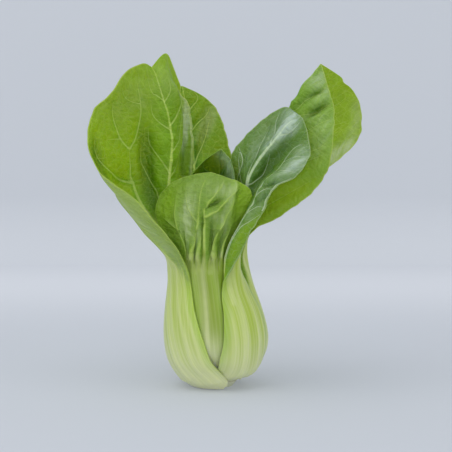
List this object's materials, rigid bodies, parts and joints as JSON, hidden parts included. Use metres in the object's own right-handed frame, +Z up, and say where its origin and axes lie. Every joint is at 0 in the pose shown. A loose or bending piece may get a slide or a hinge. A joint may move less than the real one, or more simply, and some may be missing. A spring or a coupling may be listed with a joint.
{
  "type": "chinese cabbage",
  "caption": "Upright head of green-stemmed pak choi: thick pale stalks clasping into a bulb, veined spoon-shaped blades fanning above, standing on its cut stem.",
  "frame": {"origin": "centre of the flat cut face of the stem, which the head stands on", "axes": "+Z up along the stem towards the leaf tips, -Y towards the side where the short front leaf shows its outer face, +X towards the drooping leaf"},
  "size_m": [0.1556, 0.0775, 0.1872],
  "materials": {
    "grown_leaf": "waxy leaf, satin",
    "heart_leaf": "tender leaf, satin",
    "cut_face": "moist cut stem"
  },
  "bodies": {
    "root": {"outer_left_leaf": "grown_leaf", "front_right_leaf": "grown_leaf", "far_right_leaf": "grown_leaf", "back_leaf": "grown_leaf", "front_leaf": "grown_leaf", "inner_leaf": "grown_leaf", "heart_leaf_1": "heart_leaf", "heart_leaf_2": "heart_leaf", "heart_leaf_3": "heart_leaf", "heart_leaf_4": "heart_leaf", "cut_stem": "cut_face"}
  },
  "joints": []
}
